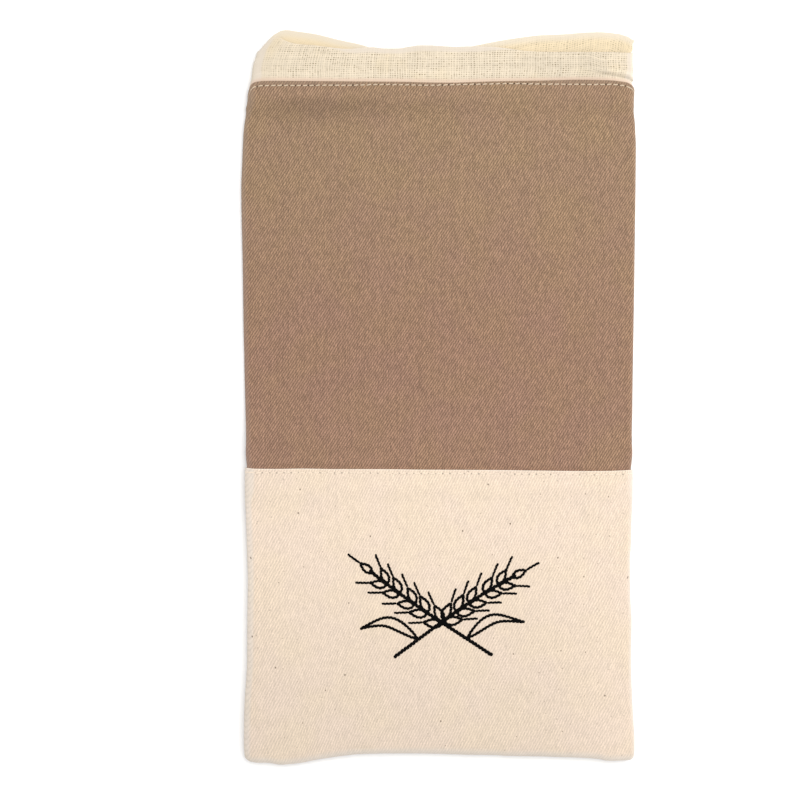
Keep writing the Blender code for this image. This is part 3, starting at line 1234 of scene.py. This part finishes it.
muslin = {
    "light": (0.635, 0.556, 0.436),
    # the warmer colour: random patches, and painted bounce light and shade inside the mouth and on
    # the layers behind
    "warm": (0.658, 0.558, 0.392),
    # painted shade on the fold at the mouth, greyer where the cloth turns away
    "fold": (0.612, 0.548, 0.472),
    "hem": (0.64, 0.58, 0.484),  # the fold's painted colour on the layers behind at the mouth, paler
    # painted taupe bounce light and contact shade, on the strip just above the band
    "seam": (0.622, 0.465, 0.365),
    # painted shade seen through the gaps between the yarns
    "gap": (0.25, 0.195, 0.115),
    "warp": 1.34,
    "weft": 1.13,
    "wander": 1.6,
    "slub": 0.18,
    "yarn": 0.07,
    # painted highlight on the yarns' tops and shade between them
    "mesh": 0.16,
    "grain": 0.14,
    "bump": 0.14,
    "foldStart": -1.4,
    # how dark some places are, and where they lie round the bag and up from the mouth's fold:
    # painted shade on the neck's right part, inside the mouth and in the wrinkle; the left end is a
    # little darker
    # painted shade on the neck's right part, which evens out the side lamp's extra light
    "shade": -0.07,
    "shadeReach": (10, 80, 100),
    # painted shadow inside the mouth, below the front's fold
    "deepShade": -0.08,
    "deepReach": (4.5, 8.5),
    "side": -0.04,
    "sideReach": (-100, -78),
    # painted shadow in the wrinkle, where it starts, and how it climbs
    "wrinkleShade": -0.12,
    "wrinkleStart": (78, -13),
    "wrinkleSlope": 0.09,
    # the smooth strip along the fold, which takes the painted fold colour: its width, its middle's
    # width, what it gains behind
    "strip": (0.4, 2.7, 1.2),
    "stripMiddle": -12,
    "stripReach": (30, 55),  # where it narrows, to both sides of its middle
    "behindReach": (100, 106),
}


def muslinMaterial(look):
    material, shader, cloth, lay, weave = wovenMaterial("cream muslin", 0.92, plainWeave, look)
    along, off = lay.split()
    narrow, broad, more = inMetres(*look["strip"])
    aside = calc("ABSOLUTE", along - look["stripMiddle"] * mm)
    width = aside.eased(*inMetres(*look["stripReach"]), broad, narrow)
    behind = calc("ABSOLUTE", along).eased(*inMetres(*look["behindReach"]))
    reach = off / (width + behind * more)
    mouth = reach.eased(-1.3, -0.7) * off.eased(0.001, 0.004, 1, 0)
    seamStart = (folds["bandTop"] - folds["neckTop"]) * mm
    seam = off.eased(seamStart + 0.0004, seamStart + 0.0028, 1, 0)
    inside = off.eased(-0.001, 0.003)
    hazy = along.eased(-0.03, 0.04, 0.6, 0.3)
    sideStart, sideEnd = inMetres(*look["sideReach"])
    folded, shown = foldFade(lay, look["foldStart"], mouth, 0.35)
    shown = shown * (1 - seam * 0.75) * (1 - inside * hazy)
    shown = shown * along.eased(sideStart, sideEnd, 0.45, 1)
    # warmer inside the mouth and on the layers behind, as painted bounce light and shade, and
    # elsewhere in random patches
    warm = calc("MAXIMUM", inside, cloth.noise(55, 3).eased(0.5, 0.75, 0, 0.5))
    warm = calc("MAXIMUM", warm, behind * 0.72)
    colour = mixColours(warm, look["light"], look["warm"])
    # the gaps between the yarns show a painted shade
    loose = cloth.stretched((0.35, 1, 1)).noise(330).eased(0.36, 0.62, 0.35, 1)
    colour = mixColours(weave["Gap"] * loose * shown, colour, look["gap"])
    # the fold at the mouth takes its painted shade
    rim = mixColours(behind, look["fold"], look["hem"])
    colour = mixColours(folded * 0.75, colour, rim)
    # just above the band: painted taupe bounce light and contact shade
    colour = mixColours(seam * 0.6, colour, look["seam"])
    # painted shadow in the wrinkle that runs from the face into the mouth's right side
    start, height = inMetres(*look["wrinkleStart"])
    above = off - height + (along - start) * look["wrinkleSlope"]
    wrinkleShadow = along.eased(start + 0.002, start + 0.015) * above.peak(-0.0004, 0.0006, 0.0024)
    tone = useGroup(slubs, Vector=cloth, Across=0.0011, Along=0.02)["Tone"]
    grain = toneShade(
        (tone * shown, look["slub"]),
        (weave["Yarn"] * shown, look["yarn"]),
        # painted highlight on the yarns' tops and shade between them
        ((weave["Height"] - 0.75) * shown, look["mesh"]),
        (cloth.noise(1500) - 0.5, look["grain"]),
        # painted shade on the right part
        (along.peak(*inMetres(*look["shadeReach"])), look["shade"]),
        # painted shadow inside the mouth
        (off.eased(*inMetres(*look["deepReach"])) * along.eased(0, 0.04), look["deepShade"]),
        (along.eased(sideStart, sideEnd, 1, 0) * (1 - inside), look["side"]),
        (wrinkleShadow, look["wrinkleShade"]),
    )
    colour = mixColours(1, colour, grain, "MULTIPLY")
    woven = bumpNode(weave["Height"] + cloth.noise(3600) * 0.3, look["bump"], shown * 0.7)
    fill(shader, {"Base Color": colour, "Normal": woven})
    return material


def threadMaterial(name, colour, dark, roughness, sheen):
    material, tree, shader = newMaterial(name, roughness, sheen)
    place = Value(tree.nodes.new("ShaderNodeTexCoord").outputs["Object"])
    strands = place.noise(2600, 2, 0.6)
    colour = mixColours(strands, dark, colour)
    fill(shader, {"Base Color": colour, "Normal": bumpNode(strands, 0.1, 0.5)})
    return material


# for each thread: its colour, that of its valleys, which is painted shade, roughness and sheen
threads = {
    "pale thread": ((0.66, 0.54, 0.41), (0.42, 0.33, 0.23), 0.7, 0.2),
    "cream thread": ((0.76, 0.65, 0.53), (0.66, 0.56, 0.45), 0.8, 0.2),
    "black thread": ((0.004, 0.0035, 0.0035), (0.001, 0.001, 0.001), 0.8, 0),
}


def dress(piece, material, slot, *replaced):
    piece.data.materials.append(material)
    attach(piece, "root")
    if replaced:
        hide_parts(*replaced)


dress(bodyCloth, twillMaterial("cream twill", creamTwill), "cream_twill", "body")
dress(bandCloth, twillMaterial("taupe twill", taupeTwill), "taupe_twill", "band")
dress(neckCloth, muslinMaterial(muslin), "cream_muslin", "neck")
for piece, name, slot in (
    (bandStitches, "pale thread", "cream_muslin"),
    (bodyStitches, "cream thread", "cream_twill"),
    (embroidery, "black thread", "cream_twill"),
):
    dress(piece, threadMaterial(name, *threads[name]), slot)
print("materials made")

ringWidth = 2 * ringHalf * mm
bodyLength = (folds["bodyTop"] - bodyRows[0]) * mm
bandLength = (folds["bandTop"] - folds["bandBottom"]) * mm
neckLength = (neckRows[-1] - neckRows[0]) * mm
lengths = [round(length, 4) for length in (bodyLength, bandLength, neckLength)]
print("sheets declared,", round(ringWidth, 4), "wide and", lengths, "long")


# ---- floor, light and camera ----

studio = {
    "floorTone": 0.94,
    "skyStrength": 0.7,
    # name, place, size in metres and power
    "lamps": (
        ("overhead", (0.1, 0.12, 1.35), 0.8, 11.2),
        ("side", (0.62, 0.42, 0.9), 0.4, 5.5),
    ),
    "lens": 90,
    "sensor": 36,
    "viewWidth": 424,  # what the picture takes in, at the height of the bag's face
    "viewCentre": (-20.7, -1.9),
    "faceHeight": 12,
}


def makeFloor():
    mesh = bmesh.new()
    bmesh.ops.create_grid(mesh, x_segments=1, y_segments=1, size=2.5)
    floor = placeMesh(mesh, "floor")
    material = bpy.data.materials.new("pale floor")
    material.use_nodes = True
    shader = material.node_tree.nodes["Principled BSDF"]
    pale = (studio["floorTone"],) * 3 + (1,)
    fill(shader, {"Base Color": pale, "Roughness": 0.8, "Specular IOR Level": 0.1})
    floor.data.materials.append(material)


def makeLight():
    scene = bpy.context.scene
    scene.view_settings.view_transform = "Standard"
    scene.world = bpy.data.worlds.new("soft room")
    scene.world.use_nodes = True
    sky = scene.world.node_tree.nodes["Background"]
    fill(sky, {"Color": (1, 1, 1, 1), "Strength": studio["skyStrength"]})
    for name, place, size, power in studio["lamps"]:
        data = bpy.data.lights.new(name, "AREA")
        data.shape = "DISK"
        data.size = size
        data.energy = power
        lamp = addObject(name, data)
        lamp.location = place
        lamp.rotation_euler = (-Vector(place)).to_track_quat("-Z", "Y").to_euler()


def makeCamera():
    data = bpy.data.cameras.new("camera")
    data.sensor_width = studio["sensor"]
    data.lens = studio["lens"]
    camera = addObject("camera", data)
    away = studio["viewWidth"] * studio["lens"] / studio["sensor"]
    x, y = studio["viewCentre"]
    camera.location = (x * mm, y * mm, (away + studio["faceHeight"]) * mm)
    bpy.context.scene.camera = camera


makeFloor()
makeLight()
makeCamera()
print("studio ready")
